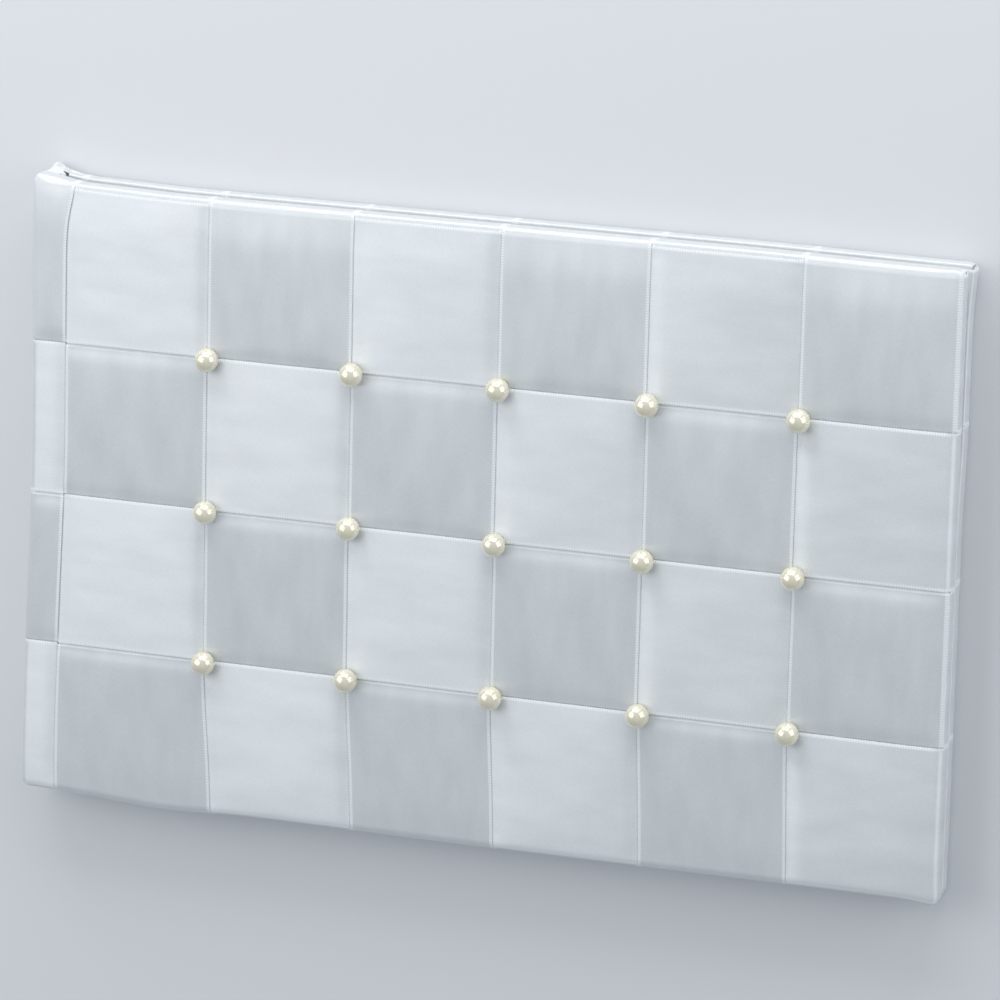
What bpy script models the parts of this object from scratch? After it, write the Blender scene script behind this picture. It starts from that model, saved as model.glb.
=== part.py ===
"""A keepsake hardback book whose case is woven from satin ribbon, with a pearl on each crossing.

It lies closed on its back cover. Metres: +X runs from the spine to the fore-edge, +Y from the
tail to the head, and +Z up through the front cover. The origin is the middle of its underside.

Each cover is, from the outside in: two woven layers of ribbon, wadding, a board, the ribbons'
turned-in ends (those along the book lie under those across it) and a paper lining.
A depth is measured from a cover's or the spine's outer face inwards.
"""

import math

import bmesh
import bpy
from mathutils import Matrix, Vector

# The weave: warp ribbons run from head to tail, weft ribbons run round the case, over the spine.
COLUMNS = 6
ROWS = 4
RIBBON_WIDTH = 0.038
RIBBON_THICKNESS = 0.0003
COLUMN_GAP = 0.0006
ROW_GAP = 0.0012
SPINE_FLANK = 0.0094  # how far the spine's own ribbon reaches onto each cover
HEAD_MARGIN = 0.0014  # from the head to the first weft ribbon
TURN_IN = 0.012  # the ribbon's end inside the cover, from the cover's edge
EDGE_RADIUS = 0.0005
EDGE_STEPS = 2

# The covers and the spine.
BOARD_THICKNESS = 0.0024
BOARD_EDGE = 0.0003  # rounding of the boards' edges
SPINE_BOARD_THICKNESS = 0.002
WADDING_THICKNESS = 0.0009
WADDING_INSET = 0.0012
LINING_THICKNESS = 0.0003
LINING_INSET = 0.0025
JOINT_GAP = 0.00035  # between the spine's inside and the cover boards

# The leaves, listed from the front: name and thickness.
LEAVES = (
    ("front_flyleaf", 0.00015),
    ("leaf_section_1", 0.00035),
    ("leaf_section_2", 0.00035),
    ("leaf_section_3", 0.00035),
    ("back_flyleaf", 0.00015),
)
LEAF_GAP = 0.00015
LEAF_PLAY = 0.0002  # between the leaves and each cover
LEAF_INSET = 0.004  # from the covers' edges to the leaves' edges
CORD_DIAMETER = 0.001
CORD_INSET = 0.0009  # from the joint to the middle of the sewing cord
LEAF_FOLD = 0.0009  # from the middle of the sewing cord to the leaves' folds

PEARL_DIAMETER = 0.006
PEARL_HEIGHT = 0.0048  # the underside is cut flat, to sit on the ribbons
PEARL_SEGMENTS = 16
PEARL_RINGS = 8

CLEARANCE = 0.00025  # between pieces that touch

# What follows from them.
LAYER = RIBBON_THICKNESS + CLEARANCE
COLUMN_PITCH = RIBBON_WIDTH + COLUMN_GAP
ROW_PITCH = RIBBON_WIDTH + ROW_GAP
LENGTH = SPINE_FLANK + COLUMNS * COLUMN_PITCH + LAYER
WIDTH = HEAD_MARGIN + ROWS * ROW_PITCH - ROW_GAP + LAYER
HALF_LENGTH = LENGTH / 2
HALF_WIDTH = WIDTH / 2

UPPER_LAYER = RIBBON_THICKNESS / 2
LOWER_LAYER = UPPER_LAYER + LAYER
SKIN = 2 * LAYER
BOARD_DEPTH = SKIN + WADDING_THICKNESS + CLEARANCE
WARP_TURN_DEPTH = BOARD_DEPTH + BOARD_THICKNESS + CLEARANCE + UPPER_LAYER
WEFT_TURN_DEPTH = WARP_TURN_DEPTH + LAYER
LINING_DEPTH = WEFT_TURN_DEPTH + UPPER_LAYER + CLEARANCE
COVER_THICKNESS = LINING_DEPTH + LINING_THICKNESS
SPINE_TURN_DEPTH = SKIN + SPINE_BOARD_THICKNESS + CLEARANCE + UPPER_LAYER
JOINT_DEPTH = SPINE_TURN_DEPTH + UPPER_LAYER + JOINT_GAP

LEAF_BLOCK = sum(thickness for _, thickness in LEAVES) + (len(LEAVES) - 1) * LEAF_GAP
THICKNESS = 2 * COVER_THICKNESS + LEAF_BLOCK + 2 * LEAF_PLAY
SPINE_X = -HALF_LENGTH
JOINT_X = SPINE_X + JOINT_DEPTH
FOLD_X = JOINT_X + CORD_INSET
MIDDLE_Z = THICKNESS / 2

ACROSS_X = (math.radians(90), 0, math.radians(90))  # a profile in Y and Z, as wide as it is in X
ACROSS_Y = (math.radians(90), 0, 0)  # a profile in X and Z, as wide as it is in Y
ACROSS_Z = (0, 0, math.radians(90))  # a profile in Y and -X, as wide as it is in Z


def clear_scene():
    for obj in list(bpy.data.objects):
        bpy.data.objects.remove(obj, do_unlink=True)


def add_collection(name):
    collection = bpy.data.collections.new(name)
    bpy.context.scene.collection.children.link(collection)
    return collection


def add_material(name, colour, roughness, metallic=0.0):
    material = bpy.data.materials.new(name)
    material.use_nodes = True
    shader = material.node_tree.nodes["Principled BSDF"]
    shader.inputs["Base Color"].default_value = (*colour, 1.0)
    shader.inputs["Roughness"].default_value = roughness
    shader.inputs["Metallic"].default_value = metallic
    material.diffuse_color = (*colour, 1.0)
    return material


def add_empty(name, collection, location, parent=None):
    empty = bpy.data.objects.new(name, None)
    empty.empty_display_size = 0.01
    collection.objects.link(empty)
    attach(empty, parent, location)
    return empty


def world_place(empty):
    """Where an empty stands in the world, through its unturned parents."""
    place = Vector((0, 0, 0))
    while empty is not None:
        place += Vector(empty.location)
        empty = empty.parent
    return place


def attach(obj, parent, location):
    """Parents the object and puts it at a place given in the world."""
    obj.parent = parent
    obj.location = Vector(location) - world_place(parent)


def add_mesh_object(name, mesh, collection, material, parent, location):
    obj = bpy.data.objects.new(name, mesh)
    if material and not mesh.materials:
        mesh.materials.append(material)
    collection.objects.link(obj)
    attach(obj, parent, location)
    return obj


def add_box(name, low, high, collection, material=None, parent=None):
    """A box between two corners given in the world."""
    size = [b - a for a, b in zip(low, high)]
    middle = [(a + b) / 2 for a, b in zip(low, high)]
    mesh = bpy.data.meshes.new(name)
    shape = bmesh.new()
    bmesh.ops.create_cube(shape, size=1, matrix=Matrix.Diagonal((*size, 1)))
    shape.to_mesh(mesh)
    shape.free()
    return add_mesh_object(name, mesh, collection, material, parent, middle)


def add_bevel(obj, width, segments=1):
    bevel = obj.modifiers.new("rounded_edges", "BEVEL")
    bevel.width = width
    bevel.segments = segments


def rounded(path, radius, steps):
    """The path with each corner sharper than 60 degrees turned into an arc."""
    points = [path[0]]
    for before, corner, after in zip(path, path[1:], path[2:]):
        arriving = (corner - before).normalized()
        leaving = (after - corner).normalized()
        turn = arriving.angle_signed(leaving)
        if abs(turn) < math.radians(60):
            points.append(corner)
            continue
        reach = radius * math.tan(abs(turn) / 2)
        start = corner - arriving * reach
        side = Vector((-arriving.y, arriving.x)) * (-1 if turn > 0 else 1)
        centre = start + side * radius
        for step in range(steps + 1):
            spoke = start - centre
            spoke.rotate(Matrix.Rotation(-turn * step / steps, 2))
            points.append(centre + spoke)
    points.append(path[-1])
    return points


def band_outline(path, thickness):
    """The closed outline of a band of this thickness that follows the path."""
    half = thickness / 2
    left = []
    right = []
    for i, point in enumerate(path):
        before = (point - path[i - 1]).normalized() if i > 0 else None
        after = (path[i + 1] - point).normalized() if i + 1 < len(path) else None
        along = ((before or after) + (after or before)).normalized()
        aside = Vector((-along.y, along.x))
        half_turn = along.angle(after or before)
        reach = half / math.cos(half_turn)
        left.append(point + aside * reach)
        right.append(point - aside * reach)
    return left + right[::-1]


def add_ribbon(name, path, width, location, rotation, parent, collection, material):
    """A ribbon seen from its side as a thin band along the path, and as wide as the curve's extrude."""
    outline = band_outline(rounded(path, EDGE_RADIUS, EDGE_STEPS), RIBBON_THICKNESS)
    curve = bpy.data.curves.new(name, "CURVE")
    curve.dimensions = "2D"
    curve.fill_mode = "BOTH"
    curve.extrude = width / 2
    spline = curve.splines.new("POLY")
    spline.points.add(len(outline) - 1)
    for slot, point in zip(spline.points, outline):
        slot.co = (point.x, point.y, 0, 1)
    spline.use_cyclic_u = True
    curve.materials.append(material)
    obj = bpy.data.objects.new(name, curve)
    collection.objects.link(obj)
    attach(obj, parent, location)
    obj.rotation_euler = rotation
    return obj


def made_mesh(curve_object):
    """The curve object turned into a closed mesh object, so that it can be cut."""
    bpy.context.view_layer.update()
    evaluated = curve_object.evaluated_get(bpy.context.evaluated_depsgraph_get())
    mesh = bpy.data.meshes.new_from_object(evaluated)
    shape = bmesh.new()
    shape.from_mesh(mesh)
    bmesh.ops.remove_doubles(shape, verts=shape.verts, dist=0.000001)
    shape.to_mesh(mesh)
    shape.free()
    name = curve_object.name
    curve_object.name = name + "_curve"
    obj = bpy.data.objects.new(name, mesh)
    curve_object.users_collection[0].objects.link(obj)
    obj.parent = curve_object.parent
    obj.matrix_world = curve_object.matrix_world
    bpy.data.objects.remove(curve_object, do_unlink=True)
    return obj


def cut(obj, cutter):
    cutter.hide_render = True
    cutter.display_type = "WIRE"
    boolean = obj.modifiers.new("cut", "BOOLEAN")
    boolean.operation = "DIFFERENCE"
    boolean.object = cutter


def column_middle(column):
    return SPINE_X + SPINE_FLANK + COLUMN_GAP + RIBBON_WIDTH / 2 + (column - 1) * COLUMN_PITCH


def row_middle(row):
    return HALF_WIDTH - HEAD_MARGIN - RIBBON_WIDTH / 2 - (row - 1) * ROW_PITCH


def weft_is_over(row, column):
    """Column 0 is the spine's own ribbon. Weft and warp take turns on top, as on a chequerboard."""
    return (row + column) % 2 == 0


def weft_depth(row, column):
    return UPPER_LAYER if weft_is_over(row, column) else LOWER_LAYER


def warp_depth(row, column):
    return LOWER_LAYER if weft_is_over(row, column) else UPPER_LAYER


def warp_path(column, turn_depth, inward):
    """From the turned-in end at the head, over the rows, to the one at the tail. It changes layer
    between the rows. inward is -1 where depth runs down the profile, or 1 where it runs up."""
    head = HALF_WIDTH - UPPER_LAYER
    path = [
        Vector((HALF_WIDTH - TURN_IN, inward * turn_depth)),
        Vector((head, inward * turn_depth)),
        Vector((head, inward * warp_depth(1, column))),
    ]
    for row in range(1, ROWS):
        leaves_at = row_middle(row) - RIBBON_WIDTH / 2
        meets_at = row_middle(row + 1) + RIBBON_WIDTH / 2
        path.append(Vector((leaves_at, inward * warp_depth(row, column))))
        path.append(Vector((meets_at, inward * warp_depth(row + 1, column))))
    path += [
        Vector((-head, inward * warp_depth(ROWS, column))),
        Vector((-head, inward * turn_depth)),
        Vector((-HALF_WIDTH + TURN_IN, inward * turn_depth)),
    ]
    return path


def weft_path(row, inward):
    """From the spine's corner, over the columns, round the fore-edge to its turned-in end."""
    fore_edge = HALF_LENGTH - UPPER_LAYER
    path = [Vector((SPINE_X, inward * weft_depth(row, 0)))]
    for column in range(1, COLUMNS + 1):
        meets_at = column_middle(column) - RIBBON_WIDTH / 2
        path.append(Vector((meets_at - COLUMN_GAP, inward * weft_depth(row, column - 1))))
        path.append(Vector((meets_at, inward * weft_depth(row, column))))
    path += [
        Vector((fore_edge, inward * weft_depth(row, COLUMNS))),
        Vector((fore_edge, inward * WEFT_TURN_DEPTH)),
        Vector((HALF_LENGTH - TURN_IN, inward * WEFT_TURN_DEPTH)),
    ]
    return path


def build_cover(side, outer_z, inward, parent, parts, cutters, materials):
    """One cover, front or back. Its outer face is at outer_z, and inward is its depth's sign in Z."""

    def layer(name, depth, thickness, inset, material):
        """A flat layer of the cover, from the joint to the inset from the other three edges."""
        near = outer_z + inward * depth
        far = outer_z + inward * (depth + thickness)
        low = (JOINT_X, -HALF_WIDTH + inset, min(near, far))
        high = (HALF_LENGTH - inset, HALF_WIDTH - inset, max(near, far))
        return add_box(f"{side}_{name}", low, high, parts, materials[material], parent)

    board = layer("board", BOARD_DEPTH, BOARD_THICKNESS, LAYER, "board")
    add_bevel(board, BOARD_EDGE)
    layer("wadding", SKIN, WADDING_THICKNESS, LAYER + WADDING_INSET, "wadding")
    layer("lining", LINING_DEPTH, LINING_THICKNESS, LINING_INSET, "paper")

    for column in range(1, COLUMNS + 1):
        add_ribbon(
            f"{side}_warp_ribbon_{column}",
            warp_path(column, WARP_TURN_DEPTH, inward),
            RIBBON_WIDTH,
            (column_middle(column), 0, outer_z),
            ACROSS_X,
            parent,
            parts,
            materials["ribbon"],
        )
    for row in range(1, ROWS + 1):
        add_ribbon(
            f"{side}_weft_ribbon_{row}",
            weft_path(row, inward),
            RIBBON_WIDTH,
            (0, row_middle(row), outer_z),
            ACROSS_Y,
            parent,
            parts,
            materials["ribbon"],
        )

    flank = add_ribbon(
        f"{side}_spine_ribbon_flank",
        warp_path(0, WARP_TURN_DEPTH, inward),
        SPINE_FLANK,
        (SPINE_X + SPINE_FLANK / 2, 0, outer_z),
        ACROSS_X,
        parent,
        parts,
        materials["ribbon"],
    )
    # Its ends are slit away at the joint, where the spine's own pieces stand.
    slit_top = outer_z + inward * (SKIN - CLEARANCE)
    slit_bottom = outer_z + inward * (COVER_THICKNESS + CLEARANCE)
    slit = add_box(
        f"{side}_joint_slit",
        (SPINE_X - JOINT_DEPTH, -WIDTH, min(slit_top, slit_bottom)),
        (JOINT_X, WIDTH, max(slit_top, slit_bottom)),
        cutters,
    )
    cut(made_mesh(flank), slit)


def build_spine(parent, parts, materials):
    """The spine between the covers' skins, standing upright while the book is closed."""
    low_z = SKIN
    high_z = THICKNESS - SKIN
    board = add_box(
        "spine_board",
        (SPINE_X + SKIN, -HALF_WIDTH + LAYER, low_z),
        (SPINE_X + SKIN + SPINE_BOARD_THICKNESS, HALF_WIDTH - LAYER, high_z),
        parts,
        materials["board"],
        parent,
    )
    add_bevel(board, BOARD_EDGE)
    add_ribbon(
        "spine_ribbon",
        warp_path(0, SPINE_TURN_DEPTH, -1),
        high_z - low_z,
        (SPINE_X, 0, MIDDLE_Z),
        ACROSS_Z,
        parent,
        parts,
        materials["ribbon"],
    )
    for row in range(1, ROWS + 1):
        middle_x = SPINE_X + weft_depth(row, 0)
        add_box(
            f"spine_weft_ribbon_{row}",
            (middle_x - UPPER_LAYER, row_middle(row) - RIBBON_WIDTH / 2, low_z),
            (middle_x + UPPER_LAYER, row_middle(row) + RIBBON_WIDTH / 2, high_z),
            parts,
            materials["ribbon"],
            parent,
        )


def build_leaves(parent, fold, parts, materials):
    """The sewing cord, and the leaves that swing on it, each from its fold to the fore-edge."""
    bpy.ops.mesh.primitive_cylinder_add(
        vertices=12,
        radius=CORD_DIAMETER / 2,
        depth=WIDTH - 2 * LEAF_INSET,
        rotation=(math.radians(90), 0, 0),
    )
    cord = bpy.context.object
    cord.name = "sewing_cord"
    cord.data.name = "sewing_cord"
    cord.data.materials.append(materials["thread"])
    for collection in list(cord.users_collection):
        collection.objects.unlink(cord)
    parts.objects.link(cord)
    attach(cord, parent, (FOLD_X, 0, MIDDLE_Z))

    top = MIDDLE_Z + LEAF_BLOCK / 2
    for name, thickness in LEAVES:
        add_box(
            name,
            (FOLD_X + LEAF_FOLD, -HALF_WIDTH + LEAF_INSET, top - thickness),
            (HALF_LENGTH - LEAF_INSET, HALF_WIDTH - LEAF_INSET, top),
            parts,
            materials["paper"],
            fold,
        )
        top -= thickness + LEAF_GAP


def build_pearls(parent, parts, materials):
    """A flat-backed pearl on each crossing of a column gap and a row gap, named by row and column."""
    seat_depth = PEARL_HEIGHT - PEARL_DIAMETER / 2
    mesh = bpy.data.meshes.new("pearl")
    shape = bmesh.new()
    bmesh.ops.create_uvsphere(
        shape,
        u_segments=PEARL_SEGMENTS,
        v_segments=PEARL_RINGS,
        radius=PEARL_DIAMETER / 2,
    )
    bmesh.ops.bisect_plane(
        shape,
        geom=shape.verts[:] + shape.edges[:] + shape.faces[:],
        plane_co=(0, 0, -seat_depth),
        plane_no=(0, 0, -1),
        clear_outer=True,
    )
    bmesh.ops.holes_fill(shape, edges=shape.edges)
    shape.to_mesh(mesh)
    shape.free()
    mesh.shade_smooth()
    mesh.set_sharp_from_angle(angle=math.radians(40))
    height = THICKNESS + CLEARANCE + seat_depth
    for row in range(1, ROWS):
        for column in range(1, COLUMNS):
            place = (
                column_middle(column) + COLUMN_PITCH / 2,
                row_middle(row) - ROW_PITCH / 2,
                height,
            )
            name = f"pearl_{row}_{column}"
            add_mesh_object(name, mesh, parts, materials["pearl"], parent, place)


def main():
    clear_scene()
    parts = add_collection("ribbon_bound_book")
    cutters = add_collection("cutters")
    materials = {
        "ribbon": add_material("white_satin_ribbon", (0.80, 0.85, 0.88), 0.35),
        "board": add_material("grey_board", (0.42, 0.39, 0.35), 0.9),
        "wadding": add_material("polyester_wadding", (0.85, 0.85, 0.84), 1.0),
        "paper": add_material("ivory_paper", (0.88, 0.86, 0.79), 0.85),
        "thread": add_material("linen_thread", (0.72, 0.66, 0.55), 0.8),
        "pearl": add_material("cream_pearl", (0.86, 0.83, 0.73), 0.2),
    }
    book = add_empty("book", parts, (0, 0, 0))
    spine_hinge = add_empty("spine_hinge_line", parts, (SPINE_X, 0, 0), book)
    front_hinge = add_empty("front_hinge_line", parts, (SPINE_X, 0, THICKNESS), spine_hinge)
    fold = add_empty("leaf_fold_line", parts, (FOLD_X, 0, MIDDLE_Z), book)

    build_cover("back", 0.0, 1, book, parts, cutters, materials)
    build_spine(spine_hinge, parts, materials)
    build_cover("front", THICKNESS, -1, front_hinge, parts, cutters, materials)
    build_leaves(book, fold, parts, materials)
    build_pearls(front_hinge, parts, materials)


main()
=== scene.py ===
"""A keepsake book bound in woven white satin ribbon, with a pearl on each crossing of its front.

Every length is in metres. The frame gives the sizes and places of the pieces: +X runs from the spine
to the fore-edge, +Y from the tail to the head and +Z up through the front cover.
"""

import math

import bmesh
import bpy
import numpy as np
from mathutils import Matrix, Vector


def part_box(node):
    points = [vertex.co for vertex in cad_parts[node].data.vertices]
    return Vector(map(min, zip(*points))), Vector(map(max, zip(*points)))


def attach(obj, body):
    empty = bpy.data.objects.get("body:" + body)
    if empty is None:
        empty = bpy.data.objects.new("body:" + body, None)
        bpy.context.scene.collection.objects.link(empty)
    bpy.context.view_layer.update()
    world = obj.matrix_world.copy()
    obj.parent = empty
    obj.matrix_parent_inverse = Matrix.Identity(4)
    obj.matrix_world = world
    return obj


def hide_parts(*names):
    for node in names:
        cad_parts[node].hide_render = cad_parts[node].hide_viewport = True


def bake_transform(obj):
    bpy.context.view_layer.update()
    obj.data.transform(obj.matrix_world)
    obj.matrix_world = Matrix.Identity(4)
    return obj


bl_info = {
    "name": "Ribbon-woven keepsake book",
    "version": (1, 0, 0),
    "blender": (4, 5, 0),
    "location": "View3D > Sidebar > Book",
    "description": "Woven satin covers, pearls, boards and leaves of a keepsake book",
    "category": "Object",
}

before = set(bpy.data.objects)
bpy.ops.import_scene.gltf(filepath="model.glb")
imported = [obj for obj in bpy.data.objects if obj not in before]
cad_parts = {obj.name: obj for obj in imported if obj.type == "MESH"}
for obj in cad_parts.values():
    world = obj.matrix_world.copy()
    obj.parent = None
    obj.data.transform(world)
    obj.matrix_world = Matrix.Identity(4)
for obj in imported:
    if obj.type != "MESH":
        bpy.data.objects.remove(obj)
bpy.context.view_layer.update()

COLUMNS = range(1, 7)
ROWS = range(1, 5)


def span(name, axis):
    """Where a CAD node starts and ends along an axis."""
    low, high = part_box(name)
    return low[axis], high[axis]


# What the frame says about the book.
WARP = {c: span(f"front_warp_ribbon_{c}", 0) for c in COLUMNS}
WEFT = {r: span(f"front_weft_ribbon_{r}", 1) for r in ROWS}
SPINE_X, FORE_X = span("front_weft_ribbon_1", 0)
TAIL_Y, HEAD_Y = span("front_warp_ribbon_1", 1)
TOP_Z = span("front_warp_ribbon_1", 2)[1]
FLANK_X = span("front_spine_ribbon_flank", 0)[1]
BOARD_LOW, BOARD_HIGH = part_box("front_board")
LINING_Z = span("front_lining", 2)[1]
RIBBON_WIDTH = WARP[1][1] - WARP[1][0]
COLUMN_GAP = WARP[2][0] - WARP[1][1]
ROW_GAP = WEFT[1][0] - WEFT[2][1]
PEARL_DIAMETER = span("pearl_1_1", 0)[1] - span("pearl_1_1", 0)[0]

# How the ribbons are turned and laid.
TURN_IN = 0.012
WARP_TURN = TOP_Z - BOARD_LOW.z + 0.00052
WEFT_TURN = TOP_Z - LINING_Z - 0.00027
INNER_RADIUS = 0.0008
ARC_STEPS = 8
SELVEDGE = 0.0009
BEAD_SHARE = 0.45
PICK_PITCH = 0.00065
HAIR = 0.00004  # the crack that is left where two ribbons meet edge to edge
WARP_SPREAD = 0.0004  # how much wider a ribbon lies where it is on top
WEFT_SPREAD_HEAD, WEFT_SPREAD_TAIL = 0.00082, 0.00032
TUCK_DEPTH = 0.00022
TUCK_REACH = 0.0032
BACK_SINK = 0.0001
BOARD_CELL, BOARD_CELL_DEPTH = 0.006, 0.004  # the boards are cut this small, so that they can be bent


# ---- sizes and colours to change


class RibbonSettings(bpy.types.PropertyGroup):
    """Sizes and colour of the satin ribbon."""

    thickness: bpy.props.FloatProperty(
        name="Thickness", description="The ribbon's thickness", default=0.00022, unit="LENGTH"
    )
    layer_step: bpy.props.FloatProperty(
        name="Layer step", description="Lower ribbon to upper", default=0.00034, unit="LENGTH"
    )
    edge_radius: bpy.props.FloatProperty(
        name="Edge radius", description="Rounding of the covers", default=0.0022, unit="LENGTH"
    )
    crown: bpy.props.FloatProperty(
        name="Crown", description="Swell at a square's middle", default=0.00042, unit="LENGTH"
    )
    ripple: bpy.props.FloatProperty(
        name="Ripple", description="Height of the ripples", default=0.00006, unit="LENGTH"
    )
    colour: bpy.props.StringProperty(name="Colour", description="Colour of the satin", default="#E3E6E8")
    selvedge_colour: bpy.props.StringProperty(
        name="Selvedge colour", description="Colour of the ribbon's woven edge", default="#EFF2F4"
    )


class PearlSettings(bpy.types.PropertyGroup):
    """Colour and coat roughness of the pearls."""

    colour: bpy.props.StringProperty(
        name="Colour", description="Colour of the pearl coating", default="#F2EBD3"
    )
    coat_roughness: bpy.props.FloatProperty(
        name="Coat roughness", description="Roughness of the lacquer", default=0.04, min=0.0, max=1.0
    )


class BoardSettings(bpy.types.PropertyGroup):
    """Colours of the boards, wadding, lining, leaves and thread."""

    board_colour: bpy.props.StringProperty(
        name="Board", description="Colour of the grey board", default="#A69F94"
    )
    wadding_colour: bpy.props.StringProperty(
        name="Wadding", description="Colour of the wadding", default="#F4F4F1"
    )
    lining_colour: bpy.props.StringProperty(
        name="Lining", description="Colour of the lining paper", default="#F1EEE4"
    )
    leaf_colour: bpy.props.StringProperty(
        name="Leaves", description="Colour of the leaves", default="#F3EEDF"
    )
    thread_colour: bpy.props.StringProperty(
        name="Thread", description="Colour of the sewing cord", default="#D9CFB8"
    )


class StageSettings(bpy.types.PropertyGroup):
    """Floor, lights and camera."""

    floor_colour: bpy.props.StringProperty(
        name="Floor", description="Colour of the floor", default="#DCDDE0"
    )
    lens: bpy.props.FloatProperty(name="Lens", description="Focal length in millimetres", default=212.4)


# ---- colours, nodes and materials


def linear(hex_colour):
    """An sRGB hex colour as linear RGBA."""
    parts = [int(hex_colour[i : i + 2], 16) / 255 for i in (1, 3, 5)]
    made = [p / 12.92 if p <= 0.04045 else ((p + 0.055) / 1.055) ** 2.4 for p in parts]
    return (*made, 1.0)


def add_node(tree, kind, settings=None, links=None):
    """A node with its properties and socket values, and its inputs linked from other nodes' sockets."""
    node = tree.nodes.new(kind)
    for name, value in (settings or {}).items():
        if isinstance(name, str) and hasattr(node, name):
            setattr(node, name, value)
        else:
            node.inputs[name].default_value = value
    for name, source in (links or {}).items():
        tree.links.new(source, node.inputs[name])
    return node


def toned(tree, colour, value, seen, tones):
    """A colour, given or linked, times tones that follow a value: seen is the value's span."""
    tone = add_node(
        tree,
        "ShaderNodeMapRange",
        {"From Min": seen[0], "From Max": seen[1], "To Min": tones[0], "To Max": tones[1]},
        {"Value": value},
    ).outputs["Result"]
    settings = {"data_type": "RGBA", "blend_type": "MULTIPLY", "Factor": 1.0}
    given = isinstance(colour, tuple)
    settings |= {6: colour} if given else {}
    links = {7: tone} if given else {6: colour, 7: tone}
    return add_node(tree, "ShaderNodeMix", settings, links).outputs[2]


def new_material(name, shader_settings):
    """A material with one Principled shader, set directly on its sockets."""
    material = bpy.data.materials.new(name)
    material.use_nodes = True
    tree = material.node_tree
    shader = tree.nodes["Principled BSDF"]
    for socket, value in shader_settings.items():
        shader.inputs[socket].default_value = value
    return material, tree, shader


def satin_ribbon(settings):
    """Woven polyester satin: long floats along the ribbon give a sheen that is drawn out across it."""
    shader_settings = {"Anisotropic": 0.95, "IOR": 1.52, "Specular IOR Level": 0.5}
    material, tree, shader = new_material("woven_satin_ribbon", shader_settings)
    along = add_node(tree, "ShaderNodeTangent", {"direction_type": "UV_MAP", "uv_map": "ribbon"})
    uv = add_node(tree, "ShaderNodeUVMap", {"uv_map": "ribbon"}).outputs["UV"]
    split = add_node(tree, "ShaderNodeSeparateXYZ", links={0: uv})
    across, length = split.outputs["X"], split.outputs["Y"]
    # How far a spot lies from the nearer selvedge, in metres.
    far = add_node(tree, "ShaderNodeMath", {"operation": "SUBTRACT", 0: RIBBON_WIDTH}, {1: across})
    near = add_node(tree, "ShaderNodeMath", {"operation": "MINIMUM"}, {0: across, 1: far.outputs[0]})
    fade = {"From Min": 0.0006, "From Max": 0.00085, "To Min": 1.0, "To Max": 0.0}
    band = add_node(
        tree, "ShaderNodeMapRange", {"interpolation_type": "SMOOTHSTEP"} | fade, {"Value": near.outputs[0]}
    ).outputs["Result"]
    # The picks return at the selvedge, and show there as a row of small beads.
    turns_per_metre = 2 * math.pi / PICK_PITCH
    turns = add_node(tree, "ShaderNodeMath", {"operation": "MULTIPLY", 1: turns_per_metre}, {0: length})
    tick = add_node(tree, "ShaderNodeMath", {"operation": "SINE"}, {0: turns.outputs[0]}).outputs[0]
    ticks = add_node(tree, "ShaderNodeMath", {"operation": "MULTIPLY"}, {0: tick, 1: band})
    # Floats of the satin: they are really about 0.05 mm across, and are drawn coarser so that they show.
    noise = {"Scale": 1.0, "Detail": 3.0, "Roughness": 0.6}
    stretch = (2800.0, 1100.0, 1.0)
    stretched = add_node(tree, "ShaderNodeVectorMath", {"operation": "MULTIPLY", 1: stretch}, {0: uv})
    floats = add_node(tree, "ShaderNodeTexNoise", noise, {"Vector": stretched.outputs[0]}).outputs["Fac"]
    # Slow clouds, where the floats lie a little more or less evenly.
    spread = (180.0, 60.0, 1.0)
    clouds_at = add_node(tree, "ShaderNodeVectorMath", {"operation": "MULTIPLY", 1: spread}, {0: uv})
    noise = {"Scale": 1.0, "Detail": 2.0}
    clouds = add_node(tree, "ShaderNodeTexNoise", noise, {"Vector": clouds_at.outputs[0]}).outputs["Fac"]
    body = toned(tree, linear(settings.colour), clouds, (0.3, 0.7), (0.96, 1.03))
    body = toned(tree, body, floats, (0.3, 0.7), (0.96, 1.02))
    # The selvedge is painted darker where the picks dip between its beads: painted shade in the hollows.
    edge = toned(tree, linear(settings.selvedge_colour), tick, (-1.0, 1.0), (0.87, 1.0))
    colour = add_node(tree, "ShaderNodeMix", {"data_type": "RGBA"}, {"Factor": band, 6: body, 7: edge})
    rough = add_node(tree, "ShaderNodeMapRange", {"To Min": 0.48, "To Max": 0.6}, {"Value": band})
    gleam = add_node(tree, "ShaderNodeMapRange", {"To Min": 0.36, "To Max": 0.06}, {"Value": band})
    weave = add_node(tree, "ShaderNodeBump", {"Strength": 0.25, "Distance": 0.00003}, {"Height": floats})
    picks = add_node(
        tree,
        "ShaderNodeBump",
        {"Strength": 0.5, "Distance": 0.00003},
        {"Height": ticks.outputs[0], "Normal": weave.outputs["Normal"]},
    )
    tree.links.new(colour.outputs[2], shader.inputs["Base Color"])
    tree.links.new(rough.outputs["Result"], shader.inputs["Roughness"])
    tree.links.new(gleam.outputs["Result"], shader.inputs["Metallic"])
    tree.links.new(picks.outputs["Normal"], shader.inputs["Normal"])
    tree.links.new(along.outputs["Tangent"], shader.inputs["Tangent"])
    return material


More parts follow.
